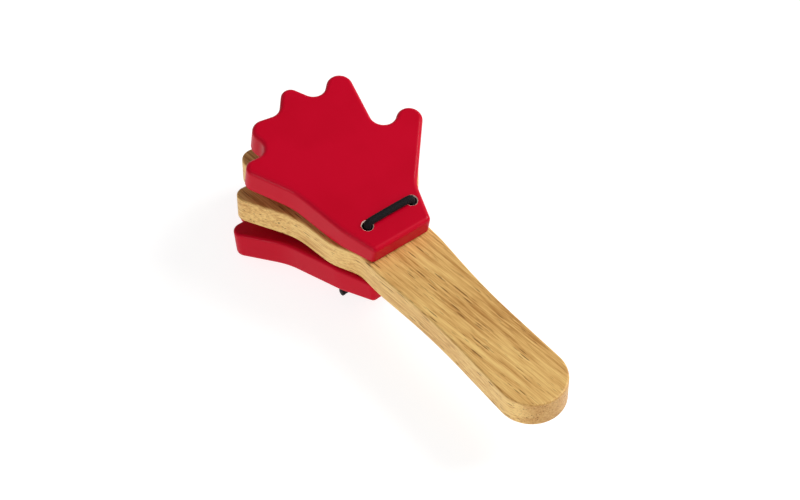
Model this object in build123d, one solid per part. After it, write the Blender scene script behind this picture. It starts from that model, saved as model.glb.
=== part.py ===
from build123d import *
from build123d.topology.shape_core import SkipClean
import math
import os

# Hand castanets: a flat wooden board cut as an open hand with a paddle handle, and a lacquered
# hand-shaped clapper above and below the hand, all strung on one loop of elastic cord.
# Frame: +Y from the handle towards the fingers, +X towards the thumb, +Z up. The origin is the
# middle of the board's flat underside at the neck, where the hand meets the handle.

# Boards
board_thickness = 12.0
clapper_thickness = 12.0
head_growth = 1.05  # the board's hand reaches a little past the upper clapper
lower_growth = 1.05  # and so does the lower clapper's
lower_slide = (-0.7, 1.0)  # how far its outline sits off centre over its cord holes
wrist_y = 6.0  # the wrist, which the hands grow from
heel_y = 4.9  # where a clapper ends, above the neck
wrist_corner = 2.0
board_edge = 0.8
outer_edge = 1.8  # rounded edge of a clapper's outer face
inner_edge = 1.2

# Handle
handle_half_waist = 12.66
waist_y = -37.0
waist_radius = 300.0
end_radius = 13.45
end_y = -70.3
neck_half_width = 14.6
shoulder_y = 1.0
shoulder_radius = 40.0
neck_bend_y = 9.0
neck_bend_radius = 12.0
grip_top_y = 3.0  # the handle's own flat faces end here, just short of the clappers

# Rocking clappers. The palm's inner face is cut away behind a ridge, so that a clapper stands
# open when this bevel lies on the board, and its fingers meet the board when it rocks shut.
ridge_y = 24.5
ridge_radius = 3.0
upper_opening = 9.2  # degrees
lower_opening = 8.0
clapper_gap = 0.1
upper_yaw = -1.2  # how far each clapper sits askew on the slack of its holes, in degrees
lower_yaw = 2.9

# Elastic cord and its holes
cord_diameter = 3.0
hole_diameter = 4.0
hole_chamfer = 0.45
hole_spacing = 20.5
hole_x = 1.6  # the two holes sit a little towards the thumb
hole_y = 14.1
cord_bend = 3.0  # radius of the cord's centre line where it turns out of a hole
cord_rise = 2.0  # its centre line above the faces that it crosses

# Knot of the cord's two ends, under the lower clapper
knot_radius = 3.4
knot_middle = (-8.8, 21.3, -15.4)
left_end = (-8.8, 18.7, -14.8)  # where the cord's line ends inside the knot, from each hole
right_end = (-6.1, 20.9, -15.1)
long_tail_end = (-17.6, 20.0, -15.2)
short_tail_end = (-11.6, 28.4, -15.9)

level = 0.9  # a face whose normal rises or drops by more than this is an outer or an inner face

convex = 1
concave = -1

# A hand outline is a chain of circles joined by tangent lines, anticlockwise from the wrist.
# Each is x, y, radius and the way that the outline bends round it.
fingers = [
    (33.9, 46.0, 5.1, convex),  # thumb
    (26.8, 53.5, 5.2, concave),
    (20.4, 72.6, 5.2, convex),  # index finger
    (11.8, 78.6, 5.1, concave),
    (1.6, 78.4, 3.9, convex),  # middle finger
    (-8.7, 80.3, 5.2, concave),
    (-15.4, 71.2, 5.0, convex),  # ring finger
    (-24.6, 67.6, 4.8, concave),
    (-28.0, 59.4, 3.7, convex),  # little finger
]
clapper_palm = [
    (-51.1, 31.5, 30.0, concave),
    (7.0, 25.5, 25.6, convex),
]
clapper_wrist = [
    (-11.5, heel_y + wrist_corner, wrist_corner, convex),
    (11.8, heel_y + wrist_corner, wrist_corner, convex),
    (30.6, 13.2, 14.0, concave),  # root of the thumb
]
head_palm = [
    (-51.2, 31.5, 30.0, concave),
    (5.4, 30.0, 26.0, convex),
]


def tangent_line(first, second):
    """Both ends of the line that leads from one circle of a chain to the next."""
    x1, y1, r1, bend1 = first
    x2, y2, r2, bend2 = second
    distance = math.hypot(x2 - x1, y2 - y1)
    heading = math.atan2(y2 - y1, x2 - x1) - math.asin((bend2 * r2 - bend1 * r1) / distance)
    left_x, left_y = -math.sin(heading), math.cos(heading)
    leave = (x1 - left_x * r1 * bend1, y1 - left_y * r1 * bend1)
    reach = (x2 - left_x * r2 * bend2, y2 - left_y * r2 * bend2)
    return leave, reach


def outline(circles):
    """The flat face inside a closed chain of circles and tangent lines."""
    lines = [tangent_line(a, b) for a, b in zip(circles, circles[1:] + circles[:1])]
    edges = []
    for number, (x, y, radius, bend) in enumerate(circles):
        start = lines[number - 1][1]
        end = lines[number][0]
        start_angle = math.atan2(start[1] - y, start[0] - x)
        end_angle = math.atan2(end[1] - y, end[0] - x)
        sweep = bend * ((bend * (end_angle - start_angle)) % (2 * math.pi))
        middle_angle = start_angle + sweep / 2
        middle = (x + radius * math.cos(middle_angle), y + radius * math.sin(middle_angle))
        edges.append(ThreePointArc(start, middle, end))
        edges.append(Line(*lines[number]))
    return make_face(Wire(edges))


def grown(circles, growth):
    """The same circles, enlarged about the middle of the wrist."""
    result = []
    for x, y, radius, bend in circles:
        result.append((x * growth, wrist_y + (y - wrist_y) * growth, radius * growth, bend))
    return result


def cord_holes():
    holes = []
    for side in (-1, 1):
        place = Pos(hole_x + side * hole_spacing / 2, hole_y, 0)
        holes.append(place * Cylinder(hole_diameter / 2, 4 * board_thickness))
    return holes


def handle_board():
    handle_end = [(0.0, end_y, end_radius, convex)]
    right_side = [
        (handle_half_waist + waist_radius, waist_y, waist_radius, concave),
        (neck_half_width - shoulder_radius, shoulder_y, shoulder_radius, convex),
        (neck_half_width + neck_bend_radius, neck_bend_y, neck_bend_radius, concave),
    ]
    left_side = [(-x, y, radius, bend) for x, y, radius, bend in reversed(right_side)]
    circles = handle_end + right_side + grown(fingers, head_growth) + head_palm + left_side
    board = extrude(outline(circles), board_thickness)
    board = fillet(board.edges().filter_by(Plane.XY), board_edge)
    board = board - cord_holes()
    grip_top = Plane.XZ.offset(-grip_top_y)
    handle = split(board, bisect_by=grip_top)
    hand = split(board, bisect_by=grip_top, keep=Keep.BOTTOM)
    with SkipClean():  # still one solid, with an edge left across its flat faces
        return handle + hand


def clapper(opening, growth=1.0, slide=(0.0, 0.0)):
    """A clapper standing open on the plane z = 0, with its bevel flat on that plane."""
    circles = grown(clapper_wrist + fingers + clapper_palm, growth)
    plate = Pos(*slide) * extrude(outline(circles), clapper_thickness)
    plate = fillet(plate.faces().sort_by(Axis.Z)[-1].edges(), outer_edge)
    plate = Pos(0, ridge_y, ridge_radius) * Rot(opening, 0, 0) * Pos(0, -ridge_y, -ridge_radius) * plate
    plate = split(plate, bisect_by=Plane.XY)
    bevel = plate.faces().sort_by(Axis.Z)[0]
    ridge = bevel.edges().sort_by(Axis.Y)[-1]
    plate = fillet(ridge, ridge_radius)
    inner_faces = plate.faces().filter_by(lambda face: face.normal_at().Z < -level)
    plate = fillet(rim(inner_faces), inner_edge) - cord_holes()
    outer_faces = plate.faces().filter_by(lambda face: face.normal_at().Z > level)
    return chamfer(outer_faces.edges().filter_by(GeomType.ELLIPSE), hole_chamfer)


def rim(faces):
    """The outer border of faces that lie side by side: the edges that only one of them has."""
    edges = faces.edges()
    return [edge for edge in edges if sum(edge.is_same(other) for face in faces for other in face.edges()) == 1]


def askew(plate, yaw):
    """Turned about the middle of the two cord holes."""
    return Pos(hole_x, hole_y, 0) * Rot(0, 0, yaw) * Pos(-hole_x, -hole_y, 0) * plate


def upper_clapper():
    plate = askew(clapper(upper_opening), upper_yaw)
    return Pos(0, 0, board_thickness + clapper_gap) * plate


def lower_clapper():
    plate = askew(clapper(lower_opening, lower_growth, lower_slide), lower_yaw)
    return Pos(0, 0, -clapper_gap) * mirror(plate, about=Plane.XY)


def face_height(opening):
    """How high a clapper's outer face stands over the board's face, at the cord holes."""
    tilt = math.radians(opening)
    over_ridge = ridge_radius + (clapper_thickness - ridge_radius) / math.cos(tilt)
    return clapper_gap + over_ridge - (ridge_y - hole_y) * math.tan(tilt)


def hole_middle(side, yaw):
    """Where one of a clapper's holes lies once the clapper is askew."""
    reach = side * hole_spacing / 2
    return hole_x + reach * math.cos(math.radians(yaw)), hole_y + reach * math.sin(math.radians(yaw))


def elastic_cord():
    bottom = -face_height(lower_opening) - cord_rise
    top = board_thickness + face_height(upper_opening) + cord_rise
    left_leg = [(*hole_middle(-1, lower_yaw), bottom), (*hole_middle(-1, upper_yaw), top)]
    right_leg = [(*hole_middle(1, upper_yaw), top), (*hole_middle(1, lower_yaw), bottom)]
    path = FilletPolyline(left_end, *left_leg, *right_leg, right_end, radius=cord_bend)
    cord = tube(path)
    section = math.pi * cord_diameter**2 / 4
    print("cord path", round(path.length, 1), "mm")
    print("cord volume over section times length", round(cord.volume / (section * path.length), 4))
    return cord


def tube(path):
    section = Plane(origin=path @ 0, z_dir=path % 0) * Circle(cord_diameter / 2)
    return sweep(section, path=path)


def cord_knot():
    knot = Pos(*knot_middle) * Sphere(knot_radius)
    for end in (long_tail_end, short_tail_end):
        knot = knot + tube(Line(knot_middle, end))
    return knot


os.makedirs("parts", exist_ok=True)
for sub_part in (handle_board, upper_clapper, lower_clapper, elastic_cord, cord_knot):
    export_step(sub_part(), f"parts/{sub_part.__name__}.step")
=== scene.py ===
import math

import bpy
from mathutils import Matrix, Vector


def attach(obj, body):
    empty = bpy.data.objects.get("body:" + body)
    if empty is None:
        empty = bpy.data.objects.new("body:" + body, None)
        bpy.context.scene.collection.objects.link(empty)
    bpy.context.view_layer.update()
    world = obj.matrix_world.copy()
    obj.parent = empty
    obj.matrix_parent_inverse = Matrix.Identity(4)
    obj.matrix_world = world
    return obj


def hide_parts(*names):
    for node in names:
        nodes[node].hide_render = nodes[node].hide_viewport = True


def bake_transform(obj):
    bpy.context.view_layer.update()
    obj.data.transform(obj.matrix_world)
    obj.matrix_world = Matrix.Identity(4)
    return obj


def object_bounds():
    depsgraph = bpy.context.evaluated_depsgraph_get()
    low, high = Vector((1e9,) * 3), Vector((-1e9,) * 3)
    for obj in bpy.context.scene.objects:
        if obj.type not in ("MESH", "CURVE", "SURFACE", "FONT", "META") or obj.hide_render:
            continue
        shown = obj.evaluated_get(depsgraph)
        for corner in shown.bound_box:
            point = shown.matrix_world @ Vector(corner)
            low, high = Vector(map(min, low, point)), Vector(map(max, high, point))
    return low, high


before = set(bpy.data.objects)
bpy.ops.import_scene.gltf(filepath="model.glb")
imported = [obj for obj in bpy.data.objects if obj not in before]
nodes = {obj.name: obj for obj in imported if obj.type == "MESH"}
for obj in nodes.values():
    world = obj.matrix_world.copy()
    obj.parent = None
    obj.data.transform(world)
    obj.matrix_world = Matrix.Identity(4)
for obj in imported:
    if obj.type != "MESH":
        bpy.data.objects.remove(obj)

# Hand castanets: a wooden board cut as an open hand with a paddle handle, two lacquered clappers
# that rock on it, and one loop of braided elastic cord with its knot under the lower clapper.
# +Y runs from the handle to the fingers, +X towards the thumb, +Z up, in metres.

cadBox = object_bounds()
bumpDistance = 0.0001


def tint(red, green, blue):
    # a colour picked on a 0-255 scale, as the linear values that the shaders use
    def linear(value):
        value = value / 255
        return value / 12.92 if value <= 0.04045 else ((value + 0.055) / 1.055) ** 2.4
    return (linear(red), linear(green), linear(blue), 1.0)


class Flow:
    # one output socket of a node tree; sums on it add Math nodes
    def __init__(self, tree, socket=None):
        self.tree = tree
        self.socket = socket

    def node(self, kind, settings=None, inputs=None, output=0):
        made = self.tree.nodes.new("ShaderNode" + kind)
        for name, value in (settings or {}).items():
            if name == "stops":
                fillRamp(made.color_ramp, value)
            else:
                setattr(made, name, value)
        for name, value in (inputs or {}).items():
            if isinstance(value, Flow):
                self.tree.links.new(value.socket, made.inputs[name])
            else:
                made.inputs[name].default_value = value
        return Flow(self.tree, made.outputs[output] if made.outputs else None)

    def math(self, operation, *values):
        return self.node("Math", {"operation": operation}, dict(enumerate(values)))

    def __add__(self, other):
        return self.math("ADD", self, other)

    def __radd__(self, other):
        return self.math("ADD", other, self)

    def __sub__(self, other):
        return self.math("SUBTRACT", self, other)

    def __rsub__(self, other):
        return self.math("SUBTRACT", other, self)

    def __mul__(self, other):
        return self.math("MULTIPLY", self, other)

    def __pow__(self, other):
        return self.math("POWER", self, other)

    def step(self, low, high):
        # 0 below low, 1 above high, smooth between
        settings = {"interpolation_type": "SMOOTHSTEP"}
        return self.node("MapRange", settings, {0: self, 1: low, 2: high})

    def blendInto(self, other, share):
        # this colour, turned into another by a share
        return self.node("Mix", {"data_type": "RGBA"}, {0: share, 6: self, 7: other}, 2)


def fillRamp(ramp, stops):
    while len(ramp.elements) < len(stops):
        ramp.elements.new(0.5)
    for element, (place, colour) in zip(ramp.elements, stops):
        element.position = place
        element.color = colour


def newMaterial(name):
    material = bpy.data.materials.new(name)
    material.use_nodes = True
    material.node_tree.nodes.clear()
    return material, Flow(material.node_tree)


def finishMaterial(flow, constants, links):
    shader = flow.node("BsdfPrincipled", None, {**constants, **links})
    flow.node("OutputMaterial", {"is_active_output": True}, {"Surface": shader})


def noise(flow, place, scale, detail, roughness):
    sockets = {"Vector": place, "Scale": scale, "Detail": detail, "Roughness": roughness}
    return flow.node("TexNoise", None, sockets)


def stretched(flow, place, along, shift=(0, 0, 0)):
    # coordinates drawn out along the grain, which runs along Y
    sockets = {"Vector": place, "Location": shift, "Scale": (1.0, along, 1.0)}
    return flow.node("Mapping", None, sockets)


def bumps(flow, strength, relief):
    sockets = {"Strength": strength, "Distance": bumpDistance, "Height": relief}
    return flow.node("Bump", None, sockets)


def coordinates(flow, kind):
    return flow.node("TexCoord", None, None, kind)


def axes(flow, vector, letters):
    split = flow.node("SeparateXYZ", None, {0: vector})
    outputs = split.socket.node.outputs
    return [Flow(flow.tree, outputs[letter]) for letter in letters]


# varnished wood of the board
wood = {
    "pale": tint(238, 199, 124),
    "honey": tint(219, 172, 101),
    "brown": tint(180, 126, 62),
    "pore": tint(104, 62, 26),
    "honeyLevel": 0.45,  # shades run from 0, pale, to 1, brown
    "meanLevel": 0.42,
    "sidePaler": 0.22,
    "endBrown": 0.45,
    "poreBrown": 0.82,
    "sideSlope": (0.6, 0.95),  # X of the normal where a wall turns to side grain
    "endSlope": (0.45, 0.9),  # and Y of it for end grain
    "roughness": 0.46,
    "brownRough": 0.08,  # how much rougher brown wood is, and pores
    "poreRough": 0.25,
    "coat": 0.15,
    "poreCoat": 0.12,  # how much of the coat pores lose
    "bumpStrength": 0.3,
    "brownSink": 0.25,  # how deep brown wood lies, next to pores at 1
    "grainTurn": 5.5,  # degrees between the grain and the handle
}

# the pattern through the whole body of the wood
grain = {
    # noise drawn out along the grain: stretch, shift, fineness, detail and roughness
    "wander": (0.22, (0, 0, 0), 26.0, 2.0, 0.5),
    "ripple": (0.08, (3, 1, 2), 210.0, 3.0, 0.5),
    "fine": (0.035, (5, 0, 7), 1300.0, 4.0, 0.6),
    "broad": (0.05, (7, 2, 1), 360.0, 3.0, 0.55),
    "fibres": (0.05, (0, 0, 0), 2300.0, 2.0, 0.6),
    "patches": (0.35, (1, 4, 2), 48.0, 2.0, 0.5),
    "clusters": (0.12, (9, 2, 4), 260.0, 2.0, 0.5),
    "shares": {"fine": 2.2, "broad": 0.9, "fibres": 1.3, "patches": 0.8},
    # growth rings, about the tree's middle below the board
    "heartX": -0.02,
    "heartZ": -0.055,
    "ringsPerMetre": 300.0,
    "wanderReach": 0.012,
    "rippleReach": 0.003,
    "lateWoodRise": 3.0,
    "lateWoodEnd": 0.9,  # how far through a ring its dark wood goes
    "lateWoodShare": 0.15,
    # the tree's vessels: fineness, stretch, width, shift and the clusters that have them
    "longPores": (900.0, 0.09, 0.26, (2, 0, 1), (0.42, 0.54)),
    "shortPores": (1500.0, 0.09, 0.24, (8, 3, 5), (0.3, 0.6)),
    "shortPoreDepth": 0.75,
    "poreSoftness": 0.45,
}


def grainNoise(flow, place, layer):
    along, shift, scale, detail, roughness = grain[layer]
    return noise(flow, stretched(flow, place, along, shift), scale, detail, roughness)


def poreStreaks(flow, place, kind, clusters):
    # cut along, vessels are short dark strokes, and cut across they are dots
    scale, along, width, shift, density = grain[kind]
    cells = {"Vector": stretched(flow, place, along, shift), "Scale": scale, "Randomness": 1.0}
    nearest = flow.node("TexVoronoi", {"feature": "F1"}, cells)
    streaks = 1.0 - nearest.step(width * grain["poreSoftness"], width)
    return streaks * clusters.step(*density)


def growthRings(flow, place):
    x, z = axes(flow, place, "XZ")
    wander = grainNoise(flow, place, "wander") - 0.5
    ripple = grainNoise(flow, place, "ripple") - 0.5
    radius = ((x - grain["heartX"]) ** 2.0 + (z - grain["heartZ"]) ** 2.0) ** 0.5
    radius = radius + wander * grain["wanderReach"] + ripple * grain["rippleReach"]
    ring = flow.math("FRACT", radius * grain["ringsPerMetre"])
    return ring ** grain["lateWoodRise"] * (1.0 - ring.step(grain["lateWoodEnd"], 1.0))


def woodGrain(flow, place):
    # how brown the wood is, and where its pores are
    shade = growthRings(flow, place) * grain["lateWoodShare"]
    for layer, share in grain["shares"].items():
        shade = shade + (grainNoise(flow, place, layer) - 0.5) * share
    clusters = grainNoise(flow, place, "clusters")
    long = poreStreaks(flow, place, "longPores", clusters)
    short = poreStreaks(flow, place, "shortPores", clusters)
    return shade, flow.math("MAXIMUM", long, short * grain["shortPoreDepth"])


def boardWood():
    material, flow = newMaterial("varnished_wood")
    turn = (0.0, 0.0, -math.radians(wood["grainTurn"]))
    sockets = {"Vector": coordinates(flow, "Object"), "Rotation": turn}
    shade, pores = woodGrain(flow, flow.node("Mapping", None, sockets))
    normalX, normalY = axes(flow, coordinates(flow, "Normal"), "XY")
    sideGrain = flow.math("ABSOLUTE", normalX).step(*wood["sideSlope"])
    endGrain = flow.math("ABSOLUTE", normalY).step(*wood["endSlope"])
    stops = [(0.0, wood["pale"]), (wood["honeyLevel"], wood["honey"]), (1.0, wood["brown"])]
    level = shade + wood["meanLevel"] - sideGrain * wood["sidePaler"]
    colour = flow.node("ValToRGB", {"stops": stops}, {0: level})
    colour = colour.blendInto(wood["brown"], endGrain * wood["endBrown"])
    colour = colour.blendInto(wood["pore"], pores * wood["poreBrown"])
    finishMaterial(
        flow,
        {"IOR": 1.45, "Specular IOR Level": 0.25, "Coat IOR": 1.45, "Coat Roughness": 0.35},
        {
            "Base Color": colour,
            "Roughness": wood["roughness"] + shade * wood["brownRough"] + pores * wood["poreRough"],
            "Coat Weight": wood["coat"] - pores * wood["poreCoat"],
            "Normal": bumps(flow, wood["bumpStrength"], shade * -wood["brownSink"] - pores),
        },
    )
    return material


# red lacquer of the clappers, with bare wood where the holes are countersunk, painted shade inside the
# holes and a painted highlight along the rounded edges
lacquer = {
    "red": tint(199, 2, 38),
    "deepRed": tint(190, 1, 33),
    # painted highlight: a lighter red laid along the rounded edges of the outer faces
    "highlightRed": tint(206, 26, 52),
    "bare": tint(252, 222, 208),
    # painted shade for the inside of the holes
    "holeShade": tint(36, 10, 8),
    # noise: fineness, detail and roughness
    "clouds": (34.0, 2.0, 0.5),
    "streaks": (420.0, 3.0, 0.5),
    "peel": (900.0, 2.0, 0.4),
    "ragged": (1800.0, 2.0, 0.5),
    "streakStretch": 0.15,
    "cloudRange": (0.3, 0.62),  # from deep red to red
    "streakBase": 0.1,
    "streakShare": 0.35,
    "highlightShare": 0.35,
    "highlightSlope": (0.55, 0.86, 0.985),  # Z of the normal over a rounded edge, where the painted highlight is brightest in the middle
    "upperYaw": -1.2,  # how far each clapper sits askew, in degrees
    "lowerYaw": 2.9,
    "holeSpacing": 0.0205,
    "holeX": 0.0016,  # the middle of the two holes
    "holeY": 0.0141,
    "rim": 0.00248,  # how far from a hole's middle the lacquer starts
    "rimBlur": 0.00012,
    "rimRagged": 0.00018,
    "bareDepth": 0.008,  # no bare wood shows on the inner face, nearer the board than this
    "shadedBore": 0.00212,  # inside this the hole's wall is darkened with painted shade
    "boreBlur": 0.00006,
    "roughness": 0.38,
    "cloudRough": 0.1,
    "bareRough": 0.3,
    "coat": 0.12,
    "bumpStrength": 0.1,
    "peelRise": 0.5,
    "streakRise": 0.3,
    "bareSink": 1.5,
}


def holeDistance(flow, place, yaw):
    # how far a point is from the nearer of the two holes, seen along the holes
    x, y = axes(flow, place, "XY")
    distances = []
    for side in (-1, 1):
        reach = side * lacquer["holeSpacing"] / 2
        holeX = lacquer["holeX"] + reach * math.cos(yaw)
        holeY = lacquer["holeY"] + reach * math.sin(yaw)
        distances.append(((x - holeX) ** 2.0 + (y - holeY) ** 2.0) ** 0.5)
    return flow.math("MINIMUM", *distances)


def paintedEdgeHighlight(flow, outward):
    # painted highlight: 1 along the middle of the outer face's rounded edge, fading to 0 on both sides
    low, middle, high = lacquer["highlightSlope"]
    slope = axes(flow, coordinates(flow, "Normal"), "Z")[0] * outward
    return slope.step(low, middle) * (1.0 - slope.step(middle, high))


def lacquerColour(flow, clouds, streaks, edge):
    low, high = lacquer["cloudRange"]
    stops = [(low, lacquer["deepRed"]), (high, lacquer["red"])]
    colour = flow.node("ValToRGB", {"stops": stops}, {0: clouds})
    deep = (streaks - 0.5) * lacquer["streakShare"] + lacquer["streakBase"]
    colour = colour.blendInto(lacquer["deepRed"], deep)
    # blend in the painted highlight along the rounded edges
    return colour.blendInto(lacquer["highlightRed"], edge * lacquer["highlightShare"])


def clapperLacquer(name, yaw, outward):
    # outward is 1 where the outer face looks up and -1 where it looks down
    material, flow = newMaterial(name)
    place = coordinates(flow, "Object")
    clouds = noise(flow, place, *lacquer["clouds"])
    streaks = noise(flow, stretched(flow, place, lacquer["streakStretch"]), *lacquer["streaks"])
    peel = noise(flow, place, *lacquer["peel"])
    ragged = noise(flow, place, *lacquer["ragged"]) - 0.5
    outerSide = (axes(flow, place, "Z")[0] * outward).step(0.0, lacquer["bareDepth"])
    toHole = holeDistance(flow, place, yaw)
    rim = toHole + ragged * lacquer["rimRagged"]
    bare = (1.0 - rim.step(lacquer["rim"] - lacquer["rimBlur"], lacquer["rim"])) * outerSide
    shadedBore = 1.0 - toHole.step(lacquer["shadedBore"] - lacquer["boreBlur"], lacquer["shadedBore"])
    # the lacquer's colour, with the painted edge highlight in it
    colour = lacquerColour(flow, clouds, streaks, paintedEdgeHighlight(flow, outward))
    colour = colour.blendInto(lacquer["bare"], bare)
    # painted shade inside the holes' bores
    colour = colour.blendInto(lacquer["holeShade"], shadedBore)
    relief = peel * lacquer["peelRise"] + streaks * lacquer["streakRise"] - bare * lacquer["bareSink"]
    spread = (clouds - 0.5) * lacquer["cloudRough"] + bare * lacquer["bareRough"]
    finishMaterial(
        flow,
        {"IOR": 1.46, "Specular IOR Level": 0.05, "Coat IOR": 1.5, "Coat Roughness": 0.14},
        {
            "Base Color": colour,
            "Roughness": lacquer["roughness"] + spread,
            "Coat Weight": lacquer["coat"] - bare * lacquer["coat"],
            "Normal": bumps(flow, lacquer["bumpStrength"], relief),
        },
    )
    return material


# braided elastic cord
cordLook = {
    "black": tint(9, 8, 10),
    "sheen": tint(30, 28, 32),
    "fuzz": (2600.0, 3.0, 0.6),  # noise: fineness, detail and roughness
    "fuzzShare": 0.8,
    "threadShare": 0.15,
    "sheenRange": (0.25, 0.9),  # from black to sheen
    "threads": 46.0,  # threads inside each strand of the braid, in radians a diamond
    "threadRise": 0.5,
    "roughness": 0.62,
    "fuzzRough": 0.3,
    "bumpStrength": 0.35,
}


def braidMaterial():
    material, flow = newMaterial("black_elastic")
    along, around = axes(flow, flow.node("UVMap", {"uv_map": "braid"}), "XY")
    oneWay = flow.math("SINE", (along + around) * cordLook["threads"])
    otherWay = flow.math("SINE", (along - around) * cordLook["threads"])
    threads = oneWay * otherWay
    fuzz = noise(flow, coordinates(flow, "Object"), *cordLook["fuzz"])
    low, high = cordLook["sheenRange"]
    stops = [(low, cordLook["black"]), (high, cordLook["sheen"])]
    level = fuzz * cordLook["fuzzShare"] + threads * cordLook["threadShare"]
    finishMaterial(
        flow,
        {"IOR": 1.45, "Specular IOR Level": 0.15, "Sheen Weight": 0.04, "Sheen Roughness": 0.5},
        {
            "Base Color": flow.node("ValToRGB", {"stops": stops}, {0: level}),
            "Roughness": cordLook["roughness"] + (fuzz - 0.5) * cordLook["fuzzRough"],
            "Normal": bumps(flow, cordLook["bumpStrength"], threads * cordLook["threadRise"] + fuzz),
        },
    )
    return material


cord = {
    "diameter": 0.003,
    "carriers": 8,  # diamonds of the braid in one turn round the cord
    "diamond": 0.0013,  # length of one diamond along the cord
    "relief": 0.00016,
    "strandRound": 0.6,
    "strandDip": 0.45,  # how far a strand drops before it passes under the next
    "curveSteps": 24,
    "stepsPerDiamond": 6,
    "fewestSteps": 8,
}

# the loop's route: up out of the board's left hole, over the upper clapper and down again
overRoute = [
    (-0.00864, 0.01395, 0.0060), (-0.00864, 0.01411, 0.0140), (-0.00864, 0.01423, 0.0205),
    (-0.00862, 0.01431, 0.0240), (-0.0052, 0.01425, 0.0241), (0.0016, 0.0141, 0.0242),
    (0.0084, 0.01396, 0.0241), (0.01182, 0.01389, 0.0240), (0.01184, 0.01397, 0.0205),
    (0.01184, 0.01409, 0.0140), (0.01184, 0.01425, 0.0060),
]

# below the board: down the right hole, across under the lower clapper and into the knot
underRoute = [
    (0.01184, 0.01425, 0.0060), (0.01184, 0.01441, -0.0020), (0.01184, 0.01454, -0.0085),
    (0.0118, 0.0147, -0.0127), (0.0083, 0.0159, -0.0132), (0.0020, 0.0181, -0.0140),
    (-0.0042, 0.0201, -0.0148), (-0.0088, 0.0213, -0.0154),
]

# and down the left hole, back to the knot
legRoute = [
    (-0.00864, 0.01395, 0.0060), (-0.00864, 0.01379, -0.0020), (-0.00864, 0.01366, -0.0085),
    (-0.0087, 0.0138, -0.0127), (-0.0087, 0.0168, -0.0140), (-0.0088, 0.0195, -0.0150),
]


def cordLine(route):
    # points read off the smooth line that the route draws
    curve = bpy.data.curves.new("cordRoute", "CURVE")
    curve.dimensions = "3D"
    curve.resolution_u = cord["curveSteps"]
    spline = curve.splines.new("NURBS")
    spline.points.add(len(route) - 1)
    for point, place in zip(spline.points, route):
        point.co = (*place, 1.0)
    spline.order_u = 3
    spline.use_endpoint_u = True
    holder = bpy.data.objects.new("cordRoute", curve)
    bpy.context.scene.collection.objects.link(holder)
    bpy.context.view_layer.update()
    mesh = bpy.data.meshes.new_from_object(holder)
    line = [vertex.co.copy() for vertex in mesh.vertices]
    bpy.data.objects.remove(holder)
    bpy.data.curves.remove(curve)
    bpy.data.meshes.remove(mesh)
    return line


def evenSteps(line, spacing):
    # stations at equal distances along a line, with the distance of each
    lengths = [0.0]
    for before, after in zip(line, line[1:]):
        lengths.append(lengths[-1] + (after - before).length)
    count = max(cord["fewestSteps"], round(lengths[-1] / spacing))
    stations = []
    segment = 0
    for number in range(count + 1):
        wanted = lengths[-1] * number / count
        while segment < len(line) - 2 and lengths[segment + 1] < wanted:
            segment += 1
        share = (wanted - lengths[segment]) / (lengths[segment + 1] - lengths[segment])
        stations.append((line[segment].lerp(line[segment + 1], share), wanted))
    return stations


def cordStations(line):
    # along a line: the middle, its distance, and two directions across that never twist
    points = evenSteps(line, cord["diamond"] / cord["stepsPerDiamond"])
    tangent = (points[1][0] - points[0][0]).normalized()
    side = tangent.orthogonal().normalized()
    stations = []
    for number, (middle, distance) in enumerate(points):
        ahead = points[min(number + 1, len(points) - 1)][0]
        behind = points[max(number - 1, 0)][0]
        newTangent = (ahead - behind).normalized()
        side.rotate(tangent.rotation_difference(newTangent))
        side = (side - newTangent * side.dot(newTangent)).normalized()
        tangent = newTangent
        stations.append((middle, distance, side.copy(), tangent.cross(side)))
    return stations


def braidHeight(along, around):
    # diamonds of two strand directions that pass over each other in turn, from 0 to 1
    first, second = around + along, around - along
    crossFirst = math.cos(math.pi * (first % 1.0 - 0.5))
    crossSecond = math.cos(math.pi * (second % 1.0 - 0.5))
    if (math.floor(first) + math.floor(second)) % 2:
        crossFirst, crossSecond = crossSecond, crossFirst
    dip = cord["strandDip"]
    return crossFirst ** cord["strandRound"] * (1 - dip + dip * crossSecond)


def tubeFaces(rings, sides):
    # the wall, then a fan over each end about the two vertices that follow the wall's
    faces = []
    last = (rings - 1) * sides
    neighbours = [(turn, (turn + 1) % sides) for turn in range(sides)]
    for start in range(0, last, sides):
        for turn, after in neighbours:
            faces.append((start + turn, start + after, start + sides + after, start + sides + turn))
    for turn, after in neighbours:
        faces.append((after, turn, rings * sides))
    for turn, after in neighbours:
        faces.append((last + turn, last + after, rings * sides + 1))
    return faces


def braidUv(mesh, uvs):
    # faces on the seam count on past the last strand, not back to the first
    layer = mesh.uv_layers.new(name="braid")
    carriers = cord["carriers"]
    for polygon in mesh.polygons:
        corners = [uvs[mesh.loops[loop].vertex_index] for loop in polygon.loop_indices]
        wraps = max(v for u, v in corners) > carriers / 2
        for loop, (u, v) in zip(polygon.loop_indices, corners):
            layer.data[loop].uv = (u, v + carriers if wraps and v < 1.0 else v)


def braidedTube(name, line, radius, taper=None):
    # a tube along a line, its surface raised where the strands lie on top
    steps = cord["stepsPerDiamond"]
    sides = cord["carriers"] * steps
    stations = cordStations(line)
    length = stations[-1][1]
    vertices, uvs = [], []
    for middle, distance, side, other in stations:
        along = distance / cord["diamond"]
        girth = taper(distance, length) if taper else 1.0
        for turn in range(sides):
            angle = 2 * math.pi * turn / sides
            reach = radius * girth - cord["relief"] * (1 - braidHeight(along, turn / steps))
            vertices.append(middle + (side * math.cos(angle) + other * math.sin(angle)) * reach)
            uvs.append((along, turn / steps))
    vertices += [stations[0][0], stations[-1][0]]
    uvs += [(0.0, 0.0), (length / cord["diamond"], 0.0)]
    mesh = bpy.data.meshes.new(name)
    mesh.from_pydata(vertices, [], tubeFaces(len(stations), sides))
    mesh.shade_smooth()
    braidUv(mesh, uvs)
    piece = bpy.data.objects.new(name, mesh)
    bpy.context.scene.collection.objects.link(piece)
    return piece


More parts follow.
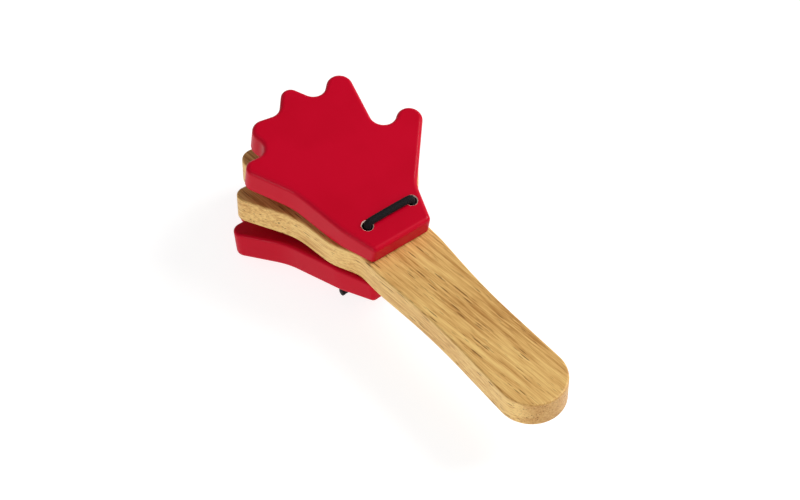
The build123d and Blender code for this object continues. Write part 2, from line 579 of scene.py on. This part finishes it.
def joined(name, parts):
    bpy.ops.object.select_all(action="DESELECT")
    for part in parts:
        part.select_set(True)
    bpy.context.view_layer.objects.active = parts[0]
    bpy.ops.object.join()
    parts[0].name = name
    parts[0].data.name = name
    return parts[0]


print("camera and stage")
view = {
    "azimuth": -38.3,
    "elevation": 50.5,
    "distance": 1.0,
    "lens": 121.5,
    "nearClip": 0.01,
    "target": (-0.00465, 0.0, 0.012),
    "raise": 0.00444,  # the object stands a little below the middle of the frame
}


def makeCamera():
    around, above = math.radians(view["azimuth"]), math.radians(view["elevation"])
    ahead = Vector((-math.sin(around), math.cos(around), 0.0))
    skyward = Vector((0.0, 0.0, 1.0))
    back = skyward * math.sin(above) - ahead * math.cos(above)
    up = skyward * math.cos(above) + ahead * math.sin(above)
    data = bpy.data.cameras.new("camera")
    data.lens = view["lens"]
    data.clip_start = view["nearClip"]
    camera = bpy.data.objects.new("camera", data)
    camera.location = Vector(view["target"]) + up * view["raise"] + back * view["distance"]
    camera.rotation_mode = "QUATERNION"
    camera.rotation_quaternion = (-back).to_track_quat("-Z", "Y")
    bpy.context.scene.collection.objects.link(camera)
    bpy.context.scene.camera = camera


stageLook = {
    "floorHalf": 4.0,
    "floorDrop": 0.0002,  # below the lowest part of the object
    "floorColour": tint(160, 160, 160),
    "floorGlow": 0.84,
    "horizonSky": (0.35, 0.35, 0.35, 1.0),
    "highSky": (0.25, 0.25, 0.25, 1.0),
    "skyFade": (0.08, 0.5),  # heights between which one sky turns into the other
    "backdrop": (0.9, 0.9, 0.9, 1.0),  # what shows past the floor's edge
    "lamps": [
        # name, place, width, power in watts
        ("keyLamp", (0.85, -0.3, 0.85), 0.6, 14.0),
        ("sideLamp", (-1.2, -0.35, 0.22), 0.5, 4.0),
        ("frontLamp", (0.42, -0.85, 0.55), 0.3, 0.3),
    ],
}


def makeFloor():
    height = cadBox[0].z - stageLook["floorDrop"]
    half = stageLook["floorHalf"]
    corners = [(x, y, height) for x, y in ((-half, -half), (half, -half), (half, half), (-half, half))]
    mesh = bpy.data.meshes.new("floor")
    mesh.from_pydata(corners, [], [(0, 1, 2, 3)])
    floor = bpy.data.objects.new("floor", mesh)
    bpy.context.scene.collection.objects.link(floor)
    material, flow = newMaterial("pale_floor")
    glow = {"Emission Color": (1.0, 1.0, 1.0, 1.0), "Emission Strength": stageLook["floorGlow"]}
    plain = {"Base Color": stageLook["floorColour"], "Roughness": 0.9, "Specular IOR Level": 0.1}
    finishMaterial(flow, plain, glow)
    mesh.materials.append(material)


def makeSky():
    world = bpy.data.worlds.new("studio")
    world.use_nodes = True
    world.node_tree.nodes.clear()
    flow = Flow(world.node_tree)
    height = axes(flow, coordinates(flow, "Generated"), "Z")[0]
    stops = [(0.0, stageLook["horizonSky"]), (1.0, stageLook["highSky"])]
    sky = flow.node("ValToRGB", {"stops": stops}, {0: height.step(*stageLook["skyFade"])})
    seen = flow.node("LightPath", None, None, "Is Camera Ray")
    sky = sky.blendInto(stageLook["backdrop"], seen)
    flow.node("OutputWorld", None, {"Surface": flow.node("Background", None, {"Color": sky})})
    bpy.context.scene.world = world


def makeLamps():
    for name, place, width, power in stageLook["lamps"]:
        data = bpy.data.lights.new(name, "AREA")
        data.size = width
        data.energy = power
        lamp = bpy.data.objects.new(name, data)
        lamp.location = place
        lamp.rotation_mode = "QUATERNION"
        lamp.rotation_quaternion = (-Vector(place)).to_track_quat("-Z", "Y")
        bpy.context.scene.collection.objects.link(lamp)


makeCamera()
makeFloor()
makeSky()
makeLamps()
bpy.context.scene.view_settings.view_transform = "Standard"

print("wood and lacquer")


def dress(node, material):
    mesh = nodes[node].data
    mesh.materials.clear()
    mesh.materials.append(material)
    for polygon in mesh.polygons:
        polygon.material_index = 0


upperLacquer = clapperLacquer("upper_lacquer", math.radians(lacquer["upperYaw"]), 1)
lowerLacquer = clapperLacquer("lower_lacquer", math.radians(lacquer["lowerYaw"]), -1)
dress("handle_board", boardWood())
dress("upper_clapper", upperLacquer)
dress("lower_clapper", lowerLacquer)

print("elastic cord")
elastic = braidMaterial()
cordRadius = cord["diameter"] / 2

over = braidedTube("cord_over", cordLine(overRoute), cordRadius)
over.data.materials.append(elastic)
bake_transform(over)
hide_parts("elastic_cord")

under = joined("cord_under", [
    braidedTube("span", cordLine(underRoute), cordRadius),
    braidedTube("leg", cordLine(legRoute), cordRadius),
])
under.data.materials.append(elastic)
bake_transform(under)
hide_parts("elastic_cord")

print("knot")
knot = {
    "middle": (-0.0092, 0.0203, -0.0155),
    "ringRadius": 0.0017,
    "wave": 0.0009,
    "lift": 0.0011,
    "turns": 2,
    "lobes": 1.5,  # waves in one turn
    "steps": 180,
    "cordRadius": 0.00125,
    "tailRadius": 0.001425,
    "cutSpread": 0.12,
    "cutLength": 0.0015,
    "longTail": [(-0.0092, 0.0203, -0.0155), (-0.0125, 0.0196, -0.0157), (-0.0174, 0.0197, -0.0153)],
    "shortTail": [(-0.0092, 0.0203, -0.0155), (-0.0092, 0.0242, -0.0156), (-0.0116, 0.0283, -0.0158)],
}


def knotLine():
    # the cord goes round twice and through itself three times
    line = []
    for number in range(knot["steps"] + 1):
        angle = 2 * math.pi * knot["turns"] * number / knot["steps"]
        reach = knot["ringRadius"] + knot["wave"] * math.cos(knot["lobes"] * angle)
        height = knot["lift"] * math.sin(knot["lobes"] * angle)
        offset = Vector((reach * math.cos(angle), reach * math.sin(angle), height))
        line.append(Vector(knot["middle"]) + offset)
    return line


def cutEnd(distance, length):
    # the last stretch of a tail spreads a little where the sheath was cut
    cut = knot["cutLength"]
    return 1.0 + knot["cutSpread"] * max(0.0, (distance - length + cut) / cut)


knotPiece = joined("cord_knot_tied", [
    braidedTube("turns", knotLine(), knot["cordRadius"]),
    braidedTube("longTail", cordLine(knot["longTail"]), knot["tailRadius"], cutEnd),
    braidedTube("shortTail", cordLine(knot["shortTail"]), knot["tailRadius"], cutEnd),
])
knotPiece.data.materials.append(elastic)
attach(knotPiece, "lower_clapper")
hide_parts("cord_knot")
